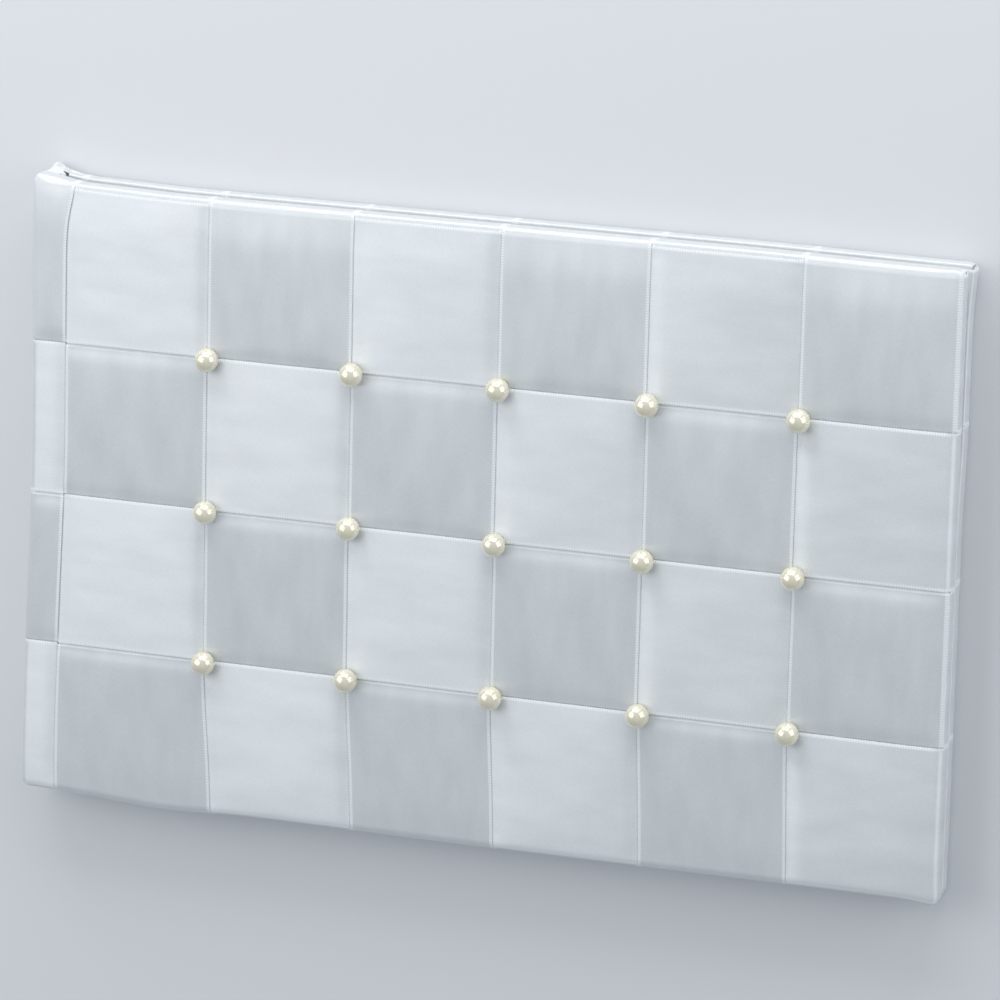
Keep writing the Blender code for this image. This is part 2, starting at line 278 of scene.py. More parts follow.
def dipped_pearl(settings):
    """An imitation pearl, dipped in pearl essence and lacquered: a soft cream glow under a clear gloss."""
    material, tree, shader = new_material(
        "lacquered_imitation_pearl",
        {
            "Metallic": 0.38,
            "Roughness": 0.2,
            "IOR": 1.53,
            "Subsurface Weight": 0.35,
            "Subsurface Radius": (1.0, 0.9, 0.6),
            "Subsurface Scale": 0.0015,
            "Coat Weight": 1.0,
            "Coat Roughness": settings.coat_roughness,
            "Coat IOR": 1.6,
            "Sheen Weight": 0.5,
            "Sheen Roughness": 0.3,
            "Sheen Tint": linear("#F4F5DC"),
        },
    )
    place = add_node(tree, "ShaderNodeTexCoord").outputs["Object"]
    drift = add_node(tree, "ShaderNodeTexNoise", {"Scale": 420.0, "Detail": 2.0}, {"Vector": place})
    colour = toned(tree, linear(settings.colour), drift.outputs["Fac"], (0.35, 0.65), (0.93, 1.0))
    tree.links.new(colour, shader.inputs["Base Color"])
    return material


def fibrous(name, colour, fibre_mm, contrast, roughness, depth):
    """A dull fibrous sheet: mottled by fibres of the given size, with a fine tooth."""
    material, tree, shader = new_material(name, {"Roughness": roughness, "Specular IOR Level": 0.3})
    place = add_node(tree, "ShaderNodeTexCoord").outputs["Object"]
    noise = {"Scale": 1000.0 / fibre_mm, "Detail": 5.0, "Roughness": 0.65}
    fibres = add_node(tree, "ShaderNodeTexNoise", noise, {"Vector": place}).outputs["Fac"]
    mixed = toned(tree, linear(colour), fibres, (0.3, 0.7), (1.0 - contrast, 1.0))
    bump = add_node(tree, "ShaderNodeBump", {"Strength": 0.5, "Distance": depth}, {"Height": fibres})
    tree.links.new(mixed, shader.inputs["Base Color"])
    tree.links.new(bump.outputs["Normal"], shader.inputs["Normal"])
    return material


def grey_board(settings):
    """Pulped grey board, pressed between rollers: dull, flecked and slightly rough."""
    return fibrous("pressed_grey_board", settings.board_colour, 0.8, 0.22, 0.9, 0.0001)


def polyester_wadding(settings):
    """Carded polyester wadding: white, matt and woolly."""
    return fibrous("carded_polyester_wadding", settings.wadding_colour, 1.6, 0.12, 1.0, 0.0004)


def lining_paper(settings):
    """Uncoated rag paper, calendered lightly: matt, with a fine tooth."""
    return fibrous("calendered_lining_paper", settings.lining_colour, 0.5, 0.05, 0.8, 0.00003)


def leaf_paper(settings):
    """Ivory wove paper, cut with a guillotine: matt and even."""
    return fibrous("guillotined_wove_paper", settings.leaf_colour, 0.4, 0.05, 0.75, 0.00002)


def linen_thread(settings):
    """Plied linen thread, waxed: dull, with a fine hairy twist."""
    return fibrous("waxed_linen_thread", settings.thread_colour, 0.3, 0.3, 0.7, 0.00005)


def material_named(name, maker, settings):
    """The material of this name, made the first time that it is asked for."""
    return bpy.data.materials.get(name) or maker(settings)


# ---- the weave's shape


def smooth(t):
    """0 to 1 with a soft start and end."""
    t = np.clip(t, 0.0, 1.0)
    return t * t * (3 - 2 * t)


def beside(distance, reach):
    """1 at a place and less away from it, as a bell with this reach."""
    return np.exp(-((distance / reach) ** 2))


def weft_is_over(row, column):
    """Column 0 is the spine's own ribbon. Weft and warp take turns on top, as on a chequerboard."""
    return (row + column) % 2 == 0


def ripples(x, y, seed, long_x, long_y, count=9):
    """A smooth random height between about -1 and 1, with waves of about these lengths."""
    random = np.random.default_rng(seed)
    total = np.zeros(np.broadcast(x, y).shape)
    for _ in range(count):
        kx, ky = random.normal(0, 1.0 / long_x), random.normal(0, 1.0 / long_y)
        total = total + np.sin(2 * math.pi * (kx * x + ky * y) + random.uniform(0, 2 * math.pi))
    return total / math.sqrt(count / 2) / 1.6


def span_samples(low, high, first=0.00015, growth=1.45, most=0.002):
    """Places from low to high, close together at both ends and even in the middle."""
    half = (high - low) / 2
    steps = [0.0]
    step = first
    while steps[-1] + step < half - most * 0.5:
        steps.append(steps[-1] + step)
        step = min(step * growth, most)
    return [low + s for s in steps] + [(low + high) / 2] + [high - s for s in reversed(steps)]


def square_weights(place, lines, gap):
    """How much each square in a row of squares counts here: all or nothing, blended in the gaps."""
    past = [smooth((place - line) / gap + 0.5) for line in lines]
    edges = [np.ones(np.shape(place))] + past + [np.zeros(np.shape(place))]
    return [edges[k] - edges[k + 1] for k in range(len(lines) + 1)]


def nearest_line(place, lines, gap):
    """Distance from this place to the nearest gap between squares."""
    return np.min([np.clip(np.abs(place - line) - gap / 2, 0.0, None) for line in lines], axis=0)


def inside(x, y, margin):
    """1 on the cover and 0 at its edges, softly over this margin."""
    along_x = smooth((FORE_X - x) / margin) * smooth((x - SPINE_X) / margin)
    return along_x * smooth((HEAD_Y - y) / margin) * smooth((y - TAIL_Y) / margin)


def tuck(x, y):
    """How far both layers sink where the upper ribbon comes out from under its neighbour."""
    x, y = np.broadcast_arrays(x, y)
    column_lines = [WARP[c][0] - COLUMN_GAP / 2 for c in COLUMNS]
    row_lines = [-(WEFT[r][0] - ROW_GAP / 2) for r in (1, 2, 3)]
    in_column = square_weights(x, column_lines, COLUMN_GAP)
    in_row = square_weights(-y, row_lines, ROW_GAP)
    for_weft = 1 - smooth(nearest_line(x, column_lines, COLUMN_GAP) / TUCK_REACH)
    for_warp = 1 - smooth(nearest_line(-y, row_lines, ROW_GAP) / TUCK_REACH)
    total = np.zeros(x.shape)
    for row in ROWS:
        for column in range(0, 7):
            shape = for_weft if weft_is_over(row, column) else for_warp
            total = total + in_row[row - 1] * in_column[column] * shape
    return TUCK_DEPTH * total * inside(x, y, 0.004)


def square_place(x, y, row, column, gap_x, gap_y):
    """Where a spot lies in a square: -1 to 1 from its spine side and from its tail side."""
    low_x, high_x = (SPINE_X, FLANK_X) if column == 0 else WARP[column]
    xi = np.clip((x - (low_x + high_x) / 2) / ((high_x - low_x + gap_x) / 2), -1, 1)
    eta = np.clip((y - sum(WEFT[row]) / 2) / ((RIBBON_WIDTH + gap_y) / 2), -1, 1)
    return xi, eta


class Side:
    """One cover's outer face: its height, the sign of outwards in Z, and how its surface swells."""

    def __init__(self, name, settings):
        self.name = name
        self.front = name == "front"
        self.out = 1.0 if self.front else -1.0
        self.face_z = TOP_Z if self.front else 0.0
        self.seed = 11 if self.front else 47
        self.crown = settings.crown if self.front else settings.crown * 0.5
        self.settings = settings
        # The back rests on the table on its beaded selvedges.
        self.sink = 0.0 if self.front else BACK_SINK

    def swell(self, x, y):
        """Height that both layers share: slow waves in the wadding, none at the edges."""
        waves = ripples(x, y, self.seed, 0.06, 0.06) * 0.00010
        if not self.front:
            waves = waves - 0.00028 - self.crown
        return waves * inside(x, y, 0.012) - tuck(x, y)

    def crowned(self, x, y, row, column):
        """The extra height of the ribbon that is on top in this square."""
        xi, eta = square_place(x, y, row, column, COLUMN_GAP, ROW_GAP)
        rise = (1 - np.abs(xi) ** 3.2) * (1 - np.abs(eta) ** 3.2)
        return rise * self.crown * (0.4 if column == 0 else 1.0)

    def slack(self, x, y, row, column, along_y):
        """Ripples in the ribbon on top, drawn out along it, and gone where it dives."""
        xi, eta = square_place(x, y, row, column, 0.0, 0.0)
        seed = self.seed * 1000 + row * 10 + column
        if along_y:
            # The ripples gather towards the tail of the square.
            shape = ripples(x, y, seed, 0.011, 0.05) * 2.2 * (0.45 + 0.9 * smooth(0.5 - 0.6 * eta))
            dive = 1 - np.abs(eta) ** 6
            rim = 1 - 0.8 * np.abs(xi) ** 10
        else:
            shape = ripples(x, y, seed, 0.05, 0.016) * 0.8
            dive = 1 - np.abs(xi) ** 6
            rim = 1 - 0.8 * np.abs(eta) ** 10
        if column == 0:
            shape = shape * 0.4 * smooth((x - SPINE_X) / 0.006)
        return shape * dive * rim * self.settings.ripple


def rounded_edge(edge, direction, radius):
    """An arc from a face round its edge: place along, depth and normal of each step."""
    arc = []
    for step in range(1, ARC_STEPS + 1):
        a = math.radians(90) * step / ARC_STEPS
        place = edge - direction * (radius - radius * math.sin(a))
        arc.append((place, radius - radius * math.cos(a), direction * math.sin(a), -math.cos(a)))
    return arc


def edge_run(edge, direction, radius, turn_depth):
    """The way from a face round its edge to the end that is turned in: places along, depths and normals."""
    out = rounded_edge(edge, direction, radius)
    for share in (0.25, 0.5, 0.75):
        depth = radius + (turn_depth - INNER_RADIUS - radius) * share
        out.append((edge, depth, direction, 0.0))
    for step in range(5):
        a = math.radians(90) * (1 + step / 4)
        place = edge - direction * (INNER_RADIUS - INNER_RADIUS * math.sin(a))
        depth = turn_depth - INNER_RADIUS - INNER_RADIUS * math.cos(a)
        out.append((place, depth, direction * math.sin(a), -math.cos(a)))
    first = edge - direction * INNER_RADIUS
    last = edge - direction * TURN_IN
    for step in range(1, 6):
        out.append((first + (last - first) * step / 5, turn_depth, 0.0, 1.0))
    return out


def way_along(run):
    """How far along a run each of its places lies."""
    return np.concatenate([[0], np.cumsum(np.hypot(np.diff(run[:, 0]), np.diff(run[:, 1])))])


def hand_laid(side, points):
    """Points moved as hand-laid ribbons lie: the covers aren't quite square, and the spine stands proud."""
    x, y, z = points[..., 0], points[..., 1], points[..., 2]
    from_spine = np.clip(x - SPINE_X, 0.0, None)
    from_fore = np.clip(FORE_X - x, 0.0, None)
    from_head = np.clip(HEAD_Y - y, 0.0, None)
    from_tail = np.clip(y - TAIL_Y, 0.0, None)
    moved = points.copy()

    # The columns lie a little towards the spine, and the spine leans out at the tail.
    lean = 0.00075 + 0.0025 * smooth((0.02 - y) / 0.095)
    near_spine = 1 - smooth((from_spine - 0.0095) / 0.038)
    shift = -0.0007 * smooth(from_fore / 0.036) * (1 - near_spine) - lean * near_spine
    # In the last row the columns swing towards the fore-edge, more so nearer the spine.
    swing = 0.0019 * smooth((-0.036 - y) / 0.042) * smooth((from_spine - 0.0095) / 0.03)
    shift = shift + swing * np.clip(0.35 + from_fore / 0.25, 0.0, 1.15) * smooth(from_fore / 0.02)
    if not side.front:
        at_fore = 1 - smooth(from_fore / 0.02)
        shift = shift - (0.00035 + 0.0005 * smooth((0.04 - y) / 0.03)) * at_fore
        shift = shift + 0.0008 * beside(from_head, 0.009) * at_fore
    # The spine's ribbon spreads over the covers at the head.
    aside = x - FLANK_X
    spread = beside(from_head, 0.008) * beside(aside, np.where(aside > 0, 0.007, 0.004))
    moved[..., 0] += shift + (0.002 if side.front else 0.0008) * spread

    # The head stands out in a soft roll, most of all at the spine.
    proud = 0.0004 * smooth(from_fore / 0.06)
    proud = proud + 0.0023 * beside(from_spine, 0.007) + 0.0006 * beside(from_spine - 0.015, 0.015)
    if not side.front:
        proud = proud + 0.0012 * beside(from_spine - 0.0015, 0.003) * smooth((TOP_Z * 0.42 - z) / 0.004)
    moved[..., 1] += proud * smooth(1 - from_head / 0.02)
    # The tail sags, most under the first column, less and less from there to the fore-edge's corner.
    drawn = -0.0008 + 0.0007 * smooth((x + 0.02) / 0.13) + 0.0008 * beside(from_spine, 0.02)
    drawn = drawn - 0.0008 * beside(from_fore, 0.006) - 0.0009 * beside(from_spine - 0.036, 0.014)
    moved[..., 1] += drawn * smooth(1 - from_tail / 0.03)

    # The padding rolls off softly towards the head, the tail and the fore-edge.
    depth = side.out * (side.face_z - z)
    roll = 0.00042 * (1 - smooth(from_head / 0.011)) + 0.0003 * (1 - smooth(from_tail / 0.009))
    roll = roll + 0.00025 * (1 - smooth(from_fore / 0.008))
    moved[..., 2] -= side.out * roll * smooth(1 - depth / 0.0018)

    # Between the spine's corner and the first column the head of the ribbon sinks into a scoop, which
    # also brings the turned-in ends of the two covers closer there.
    scoop = beside(from_spine - 0.0050, 0.0032) * beside(from_head, 0.0026)
    moved[..., 2] -= side.out * (0.00115 if side.front else 0.001) * scoop
    return moved


def arc_angle(edge_distance, radius):
    """How far round an edge's arc a spot is that lies this far inside the edge, in radians."""
    return math.asin(max(0.0, min(1.0, (radius - edge_distance) / radius)))


def drop(distance, radius, e):
    """How far a surface offset by e falls at this distance inside a rounded edge."""
    reach = np.clip(radius - distance, 0.0, None)
    ball = radius + e
    height = np.sqrt(np.clip(ball * ball - reach * reach, 1e-9, None))
    return np.where(reach > 0, ball - height, 0.0)


def smooth_shaded(mesh, degrees):
    """Shades a mesh smooth, apart from edges sharper than this."""
    mesh.shade_smooth()
    mesh.set_sharp_from_angle(angle=math.radians(degrees))


def shell_mesh(name, side, mid, normal, half, uv, keep=None):
    """A closed thin mesh round a grid of points: half its thickness to each side, and a rim."""
    rows, cols = mid.shape[:2]
    top = mid + normal * half[..., None]
    low = mid - normal * half[..., None]
    index = np.arange(rows * cols).reshape(rows, cols)
    quads = np.stack([index[:-1, :-1], index[:-1, 1:], index[1:, 1:], index[1:, :-1]], -1).reshape(-1, 4)
    if keep is not None:
        quads = quads[keep.reshape(-1)]
    # Which way round the quads run, seen along their own normals.
    a, b, c = (top.reshape(-1, 3)[quads[:, k]] for k in (0, 1, 2))
    facing = (np.cross(b - a, c - a) * normal.reshape(-1, 3)[quads[:, 0]]).sum(1)
    if np.median(facing) < 0:
        quads = quads[:, ::-1]
    total = rows * cols
    edges = {}
    for quad in quads.tolist():
        for k in range(4):
            edges[(quad[k], quad[(k + 1) % 4])] = True
    rim = [(b, a, a + total, b + total) for a, b in edges if (b, a) not in edges]
    faces = quads.tolist() + (quads[:, ::-1] + total).tolist() + rim
    points = hand_laid(side, np.concatenate([top.reshape(-1, 3), low.reshape(-1, 3)]))
    used = np.unique(np.array([i for f in faces for i in f]))
    new_index = np.full(len(points), -1)
    new_index[used] = np.arange(len(used))
    faces = [[int(new_index[i]) for i in f] for f in faces]
    mesh = bpy.data.meshes.new(name)
    mesh.from_pydata(points[used].tolist(), [], faces)
    flat_uv = np.concatenate([uv.reshape(-1, 2)] * 2)[used]
    layer = mesh.uv_layers.new(name="ribbon")
    loops = np.zeros(len(mesh.loops), dtype=np.int64)
    mesh.loops.foreach_get("vertex_index", loops)
    layer.data.foreach_set("uv", flat_uv[loops].astype(np.float32).ravel())
    smooth_shaded(mesh, 50)
    mesh.validate()
    return mesh


def add_piece(name, mesh, material):
    """A named object with this mesh and material."""
    obj = bpy.data.objects.new(name, mesh)
    mesh.materials.append(material)
    bpy.context.scene.collection.objects.link(obj)
    return obj


def half_thickness(from_selvedge, settings):
    """Half the ribbon's thickness: its selvedges are beaded."""
    bead = smooth((SELVEDGE - from_selvedge) / 0.0005)
    return settings.thickness / 2 * (1 + BEAD_SHARE * bead)


def warp_levels(column, y):
    """1 where this warp ribbon is on top and 0 where it is under a weft ribbon."""
    level = np.zeros(len(y))
    for row in ROWS:
        on_top = 0.0 if weft_is_over(row, column) else 1.0
        low, high = WEFT[row]
        level = np.where((y >= low) & (y <= high), on_top, level)
        if row < 4:
            below = 0.0 if weft_is_over(row + 1, column) else 1.0
            # The weft on top reaches almost to the next one, so the warp dives or rises beside it.
            start, end = (0.0, 0.33) if on_top else (0.36, 1.0)
            t = smooth(((low - y) / ROW_GAP - start) / (end - start))
            between = on_top + (below - on_top) * t
            level = np.where((y < low) & (y > low - ROW_GAP), between, level)
    return level


def weft_levels(row, x):
    """1 where this weft ribbon is on top and 0 where it is under a warp or the spine's ribbon."""
    level = np.full(len(x), 1.0 if weft_is_over(row, 0) else 0.0)
    for column in COLUMNS:
        on_top = 1.0 if weft_is_over(row, column) else 0.0
        low, high = WARP[column]
        level = np.where((x >= low) & (x <= high), on_top, level)
        before = 1.0 if weft_is_over(row, column - 1) else 0.0
        t = smooth((x - (low - COLUMN_GAP)) / COLUMN_GAP)
        level = np.where((x < low) & (x > low - COLUMN_GAP), before + (on_top - before) * t, level)
    return level


def row_at(y):
    """The row whose square this place lies in, halfway through the gaps."""
    edges = [WEFT[r][0] - ROW_GAP / 2 for r in (1, 2, 3)]
    return 1 + sum(y < e for e in edges)


def column_at(x):
    """The column whose square this place lies in: 0 is the spine's ribbon."""
    edges = [WARP[c][0] - COLUMN_GAP / 2 for c in COLUMNS]
    return sum(x > e for e in edges)


def warp_run(column, radius):
    """The way of a ribbon that runs from head to tail, and its level at each place on it."""
    places = []
    for row in ROWS:
        low, high = WEFT[row]
        low = max(low, TAIL_Y + radius)
        high = min(high, HEAD_Y - radius)
        places += list(reversed(span_samples(low, high)))
        if row < 4:
            places += [WEFT[row][0] - ROW_GAP * k for k in (0.08, 0.16, 0.25, 0.33, 0.45, 0.6, 0.75, 0.9)]
    face = [(y, 0.0, 0.0, -1.0) for y in places]
    head = edge_run(HEAD_Y, 1.0, radius, WARP_TURN)
    tail = edge_run(TAIL_Y, -1.0, radius, WARP_TURN)
    run = np.array(list(reversed(head)) + face + tail)
    first, last = len(head), len(head) + len(face)
    level = np.ones(len(run))
    level[first:last] = warp_levels(column, run[first:last, 0])
    # Past the outermost weft's selvedge the ribbon comes up to the outside again.
    rise = math.radians(18)
    if weft_is_over(1, column):
        level[first - ARC_STEPS : first] = risen(HEAD_Y - WEFT[1][1], radius, rise)[::-1]
    if weft_is_over(4, column):
        level[last : last + ARC_STEPS] = risen(WEFT[4][0] - TAIL_Y, radius, rise)
    return run, level


def risen(gap, radius, rise):
    """Levels round an arc for a ribbon that comes up past a selvedge which lies this far from the edge."""
    angles = math.radians(90) * np.arange(1, ARC_STEPS + 1) / ARC_STEPS
    return smooth((angles - arc_angle(gap, radius)) / rise)


def warp_lift(side, x, y, column):
    """How far a ribbon that runs from head to tail swells, above all in the squares where it is on top."""
    lift = side.swell(x, y)
    for row in ROWS:
        if not weft_is_over(row, column):
            extra = side.crowned(x, y, row, column) + side.slack(x, y, row, column, True)
            lift = lift + np.where(row_at(y) == row, extra, 0.0)
    return lift


def weft_lift(side, x, y, row):
    """How far a ribbon that runs across swells, above all in the squares where it is on top."""
    lift = side.swell(x, y)
    for column in range(0, 7):
        if weft_is_over(row, column):
            extra = side.crowned(x, y, row, column) + side.slack(x, y, row, column, False)
            lift = lift + np.where(column_at(x) == column, extra, 0.0)
    return lift


def warp_spread(y_normal, depth_normal, level, radius, share):
    """How far a ribbon from head to tail spreads, times a share: a little where it is on top, and past
    the outermost wefts until the ribbons meet."""
    start = arc_angle(HEAD_Y - WEFT[1][1], radius) - 0.07
    turned = smooth((np.arctan2(np.abs(y_normal), -depth_normal) - start) / 0.14)
    return np.maximum(turned * (COLUMN_GAP - HAIR), level * WARP_SPREAD) * share


def layer_height(side, level):
    """Height of a ribbon's middle over the cover's outer face: negative, as it lies inside."""
    settings = side.settings
    return -side.sink - settings.thickness / 2 - (1 - level) * settings.layer_step


def points_of(x, y, z):
    """Points or directions from their parts, each spread over the whole grid."""
    return np.stack(np.broadcast_arrays(x, y, z), -1)


def lay_ribbon(name, side, surface, edges, run, material, keep=None):
    """A ribbon laid along a run, and its length. Edges are the places across, and those from a selvedge."""
    mid, normal = surface
    across, from_selvedge = edges
    length = way_along(run)
    uv = np.stack(np.broadcast_arrays(across[None, :], length[:, None]), -1)
    half = np.broadcast_to(half_thickness(from_selvedge, side.settings)[None, :], mid.shape[:2])
    mesh = shell_mesh(name, side, mid, normal, half, uv, keep)
    return add_piece(name, mesh, material), length[-1]


def build_warps(side, material):
    """The six ribbons of one cover that run from head to tail."""
    made = []
    radius = side.settings.edge_radius
    across = np.array(span_samples(0.0, RIBBON_WIDTH))
    from_selvedge = np.minimum(across, RIBBON_WIDTH - across)
    for column in COLUMNS:
        run, level = warp_run(column, radius)
        y, depth, ny, nd = (run[:, k][:, None] for k in range(4))
        level = level[:, None]
        middle = sum(WARP[column]) / 2
        spread = warp_spread(ny, nd, level, radius, 1.0)
        x = middle + (WARP[column][0] + across[None, :] - middle) * (1 + spread / RIBBON_WIDTH)
        e = layer_height(side, level) + warp_lift(side, x, y, column) * np.clip(-nd, 0, 1)
        e = e - drop(FORE_X - x, radius, e)
        mid = points_of(x, y + ny * e, side.face_z + side.out * (-depth - nd * e))
        normal = points_of(0.0, ny, side.out * -nd + 0.0 * e)
        name = f"{side.name}_satin_warp_{column}"
        obj, length = lay_ribbon(name, side, (mid, normal), (across, from_selvedge), run, material)
        made.append((obj, column, length))
    return made


def build_wefts(side, material):
    """The four ribbons that run from the middle of the spine over one cover and round its fore-edge."""
    made = []
    radius = side.settings.edge_radius
    across = np.array(span_samples(0.0, RIBBON_WIDTH))
    from_selvedge = np.minimum(across, RIBBON_WIDTH - across)
    places = span_samples(SPINE_X + radius, WARP[1][0] - COLUMN_GAP, 0.0004)
    for low, high in WARP.values():
        places += [low - COLUMN_GAP * k / 5 for k in (4, 3, 2, 1)]
        places += span_samples(low, min(high, FORE_X - radius))
    face = [(x, 0.0, 0.0, -1.0) for x in places]
    spine = rounded_edge(SPINE_X, -1.0, radius)
    spine += [(SPINE_X, radius + (TOP_Z / 2 - radius) * k / 4, -1.0, 0.0) for k in range(1, 5)]
    run = np.array(list(reversed(spine)) + face + edge_run(FORE_X, 1.0, radius, WEFT_TURN))
    first, last = len(spine), len(spine) + len(face)
    for row in ROWS:
        level = np.ones(len(run))
        level[:first] = 1.0 if weft_is_over(row, 0) else 0.0
        level[first:last] = weft_levels(row, run[first:last, 0])
        if not weft_is_over(row, 6):
            level[last : last + ARC_STEPS] = risen(FORE_X - WARP[6][1], radius, math.radians(30))
        x, depth, nx, nd = (run[:, k][:, None] for k in range(4))
        level = level[:, None]
        # Where it is on top a weft ribbon spreads until it meets the next one.
        below = WEFT_SPREAD_TAIL if row < 4 else 0.0
        above = WEFT_SPREAD_HEAD if row > 1 else 0.0
        y = WEFT[row][0] + across[None, :]
        y = y + level * (above * across - below * (RIBBON_WIDTH - across))[None, :] / RIBBON_WIDTH
        e = layer_height(side, level) + weft_lift(side, x, y, row) * np.clip(-nd, 0, 1)
        e = e - drop(HEAD_Y - y, radius, e) - drop(y - TAIL_Y, radius, e)
        mid = points_of(x + nx * e, y, side.face_z + side.out * (-depth - nd * e))
        normal = points_of(nx, 0.0, side.out * -nd + 0.0 * e)
        name = f"{side.name}_satin_weft_{row}"
        obj, length = lay_ribbon(name, side, (mid, normal), (across, from_selvedge), run, material)
        made.append((obj, row, length))
    return made


def build_spine_ribbon(side, material):
    """Half of the spine's own ribbon: from its edge on one cover, over the corner, to the middle."""
    radius = side.settings.edge_radius
    run, level = warp_run(0, radius)
    level = level[:, None]
    # Places across: x and depth below the face, with the normal there.
    flat = span_samples(0.0, FLANK_X - SPINE_X - radius)
    over_face = [(FLANK_X - s, 0.0, 0.0, -1.0) for s in flat]
    down = [(SPINE_X, radius + (TOP_Z / 2 - radius) * k / 5, -1.0, 0.0) for k in range(1, 6)]
    cross = np.array(over_face + rounded_edge(SPINE_X, -1.0, radius) + down)
    across = way_along(cross)
    qx, qd, qnx, qnd = (cross[:, k][None, :] for k in range(4))
    y, depth, ny, nd = (run[:, k][:, None] for k in range(4))
    lift = warp_lift(side, qx, y, 0)
    e = layer_height(side, level) + lift * np.clip(-nd, 0, 1) * np.clip(-qnd, 0, 1)
    # The turned-in end is mitred, so that it stays clear of the joint.
    from_corner = np.where(qnd < -0.99, qx - SPINE_X, np.where(qnx < -0.99, qd, radius))
    limit = np.maximum(from_corner + 0.0012, 0.0042)
    shown_depth = np.minimum(depth, limit)
    # The level inner run is kept only far from the corner.
    keep_point = (depth <= limit + 1e-6) & ((nd < 0.3) | (from_corner > 0.0052))
    keep_quads = keep_point[:-1, :-1] | keep_point[1:, :-1]
    keep_quads &= keep_point[:-1, 1:] | keep_point[1:, 1:]
    # Only its edge on the cover spreads.
    share = np.clip((qx - SPINE_X - radius) / (FLANK_X - SPINE_X - radius), 0, 1)
    base_x = qx + warp_spread(ny, nd, level, radius, 0.5) * share - qnx * shown_depth
    base_d = qd - qnd * shown_depth
    n_x, n_d = -qnx * nd, -qnd * nd
    mid = points_of(base_x + n_x * e, y + ny * e, side.face_z + side.out * (-base_d - n_d * e))
    normal = points_of(n_x, ny, side.out * -n_d)
    name = f"{side.name}_satin_spine_ribbon"
    obj, length = lay_ribbon(name, side, (mid, normal), (across, across), run, material, keep_quads)
    return obj, across[-1], length


def cover_loop(side, inset, depth, corner):
    """A loop round a cover at this inset and depth: square at the joint, rounded at the fore-edge."""
    left, right = BOARD_LOW.x + 0.0001, FORE_X - inset
    low, high = TAIL_Y + inset, HEAD_Y - inset
    corner = max(corner, 0.0001)
    points = [(left + (right - corner - left) * share, low) for share in np.linspace(0, 1, 41)]
    turn = [math.radians(90) * k / ARC_STEPS for k in range(1, ARC_STEPS + 1)]
    points += [(right - corner + corner * math.sin(a), low + corner - corner * math.cos(a)) for a in turn]
    points += [(right, low + corner + (high - low - 2 * corner) * s) for s in np.linspace(0, 1, 27)[1:]]
    points += [(right - corner + corner * math.cos(a), high - corner + corner * math.sin(a)) for a in turn]
    points += [(right - corner + (left - right + corner) * s, high) for s in np.linspace(0, 1, 41)[1:]]
    points += [(left, high + (low - high) * s) for s in np.linspace(0, 1, 27)[1:-1]]
    return [(x, y, side.face_z - side.out * depth) for x, y in points]


def build_wadding(side, material):
    """The wadding under the ribbons: a soft pad over the board, with a thin skirt down its edges."""
    radius = side.settings.edge_radius
    profile = [(radius + 0.02, 0.00092), (radius + 0.004, 0.0009), (radius + 0.0015, 0.00078)]
    for step in range(ARC_STEPS + 1):
        a = math.radians(90) * step / ARC_STEPS
        reach = radius - 0.00062 + 0.00032 * float(smooth((math.degrees(a) - 55) / 35))
        profile.append((radius - reach * math.sin(a), radius - reach * math.cos(a)))
    board_top = TOP_Z - BOARD_HIGH.z
    board_low = TOP_Z - BOARD_LOW.z
    skirt_end, pad_under = board_low - 0.0001, board_top - 0.00005
    profile += [(0.0003, skirt_end), (0.00046, skirt_end), (0.00046, pad_under), (0.02, pad_under)]
    loops = [cover_loop(side, inset, depth, radius - inset) for inset, depth in profile]
    count = len(loops[0])
    points = [p for loop in loops for p in loop]
    faces = []
    for k in range(len(loops) - 1):
        for i in range(count):
            j = (i + 1) % count
            faces.append((k * count + i, k * count + j, (k + 1) * count + j, (k + 1) * count + i))
    faces.append(tuple(range(count)))
    faces.append(tuple(reversed(range((len(loops) - 1) * count, len(loops) * count))))
    name = f"{side.name}_quilted_wadding"
    mesh = bpy.data.meshes.new(name)
    mesh.from_pydata(hand_laid(side, np.array(points)).tolist(), [], faces)
    shape = bmesh.new()
    shape.from_mesh(mesh)
    bmesh.ops.remove_doubles(shape, verts=shape.verts, dist=1e-6)
    bmesh.ops.recalc_face_normals(shape, faces=shape.faces)
    bmesh.ops.triangulate(shape, faces=[f for f in shape.faces if len(f.verts) > 4])
    shape.to_mesh(mesh)
    shape.free()
    smooth_shaded(mesh, 40)
    return add_piece(name, mesh, material)


def build_leaves(name, sheets, slack, seed, material):
    """A group of leaves, each its own sheet: cut together, so their edges are nearly even."""
    low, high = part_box(name)
    random = np.random.default_rng(seed)
    pitch = (high.z - low.z) / sheets
    points, faces = [], []
    for k in range(sheets):
        z0, z1 = low.z + pitch * k, low.z + pitch * (k + 0.86 if k < sheets - 1 else 1)
        fore, head, tail = random.uniform(0.0, slack, 3)
        first = len(points)
        y0, y1 = low.y + tail, high.y - head
        x1 = high.x - fore
        for z in (z0, z1):
            points += [(low.x, y0, z), (x1 - 0.0006, y0, z), (x1, y0 + 0.0006, z)]
            points += [(x1, y1 - 0.0006, z), (x1 - 0.0006, y1, z), (low.x, y1, z)]
        faces.append([first + i for i in range(5, -1, -1)])
        faces.append([first + 6 + i for i in range(6)])
        for i in range(6):
            j = (i + 1) % 6
            faces.append([first + i, first + j, first + 6 + j, first + 6 + i])
    mesh = bpy.data.meshes.new(f"paper_{name}")
    mesh.from_pydata(points, [], faces)
    mesh.validate()
    obj = add_piece(f"paper_{name}", mesh, material)
    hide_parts(name)
    return obj


